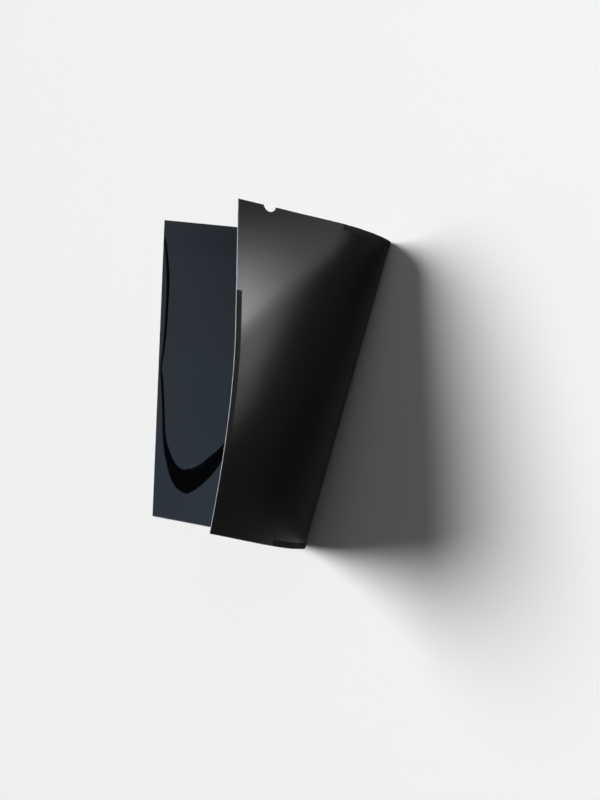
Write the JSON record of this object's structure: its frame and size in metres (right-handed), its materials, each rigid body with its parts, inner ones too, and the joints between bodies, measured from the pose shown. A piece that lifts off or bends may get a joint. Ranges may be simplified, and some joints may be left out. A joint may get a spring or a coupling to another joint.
{
  "type": "monitor privacy filter",
  "caption": "Thin dark louvre-film sheet, glossy in front and matte behind, peeled and curled at one side, with adhesive strips at its edges and a thumb notch, to hide a screen from the side.",
  "frame": {"origin": "middle of the left strip's adhesive face, on the plane that the flat part of the sheet is stuck to or lies on", "axes": "+X along the sheet's width, from the stuck left edge to the peeled side; +Y up the sheet's height, to the notched edge; +Z out of the front face, up from the plane"},
  "size_m": [0.3598, 0.3373, 0.2745],
  "materials": {
    "louvre_film": "glossy front, satin matte back, pale cut edge",
    "adhesive_tape": "matte black tape"
  },
  "bodies": {
    "root": {"filter_sheet": "louvre_film", "adhesive_strip_left": "adhesive_tape", "adhesive_strip_top": "adhesive_tape", "adhesive_strip_right": "adhesive_tape", "adhesive_strip_bottom": "adhesive_tape"}
  },
  "joints": []
}
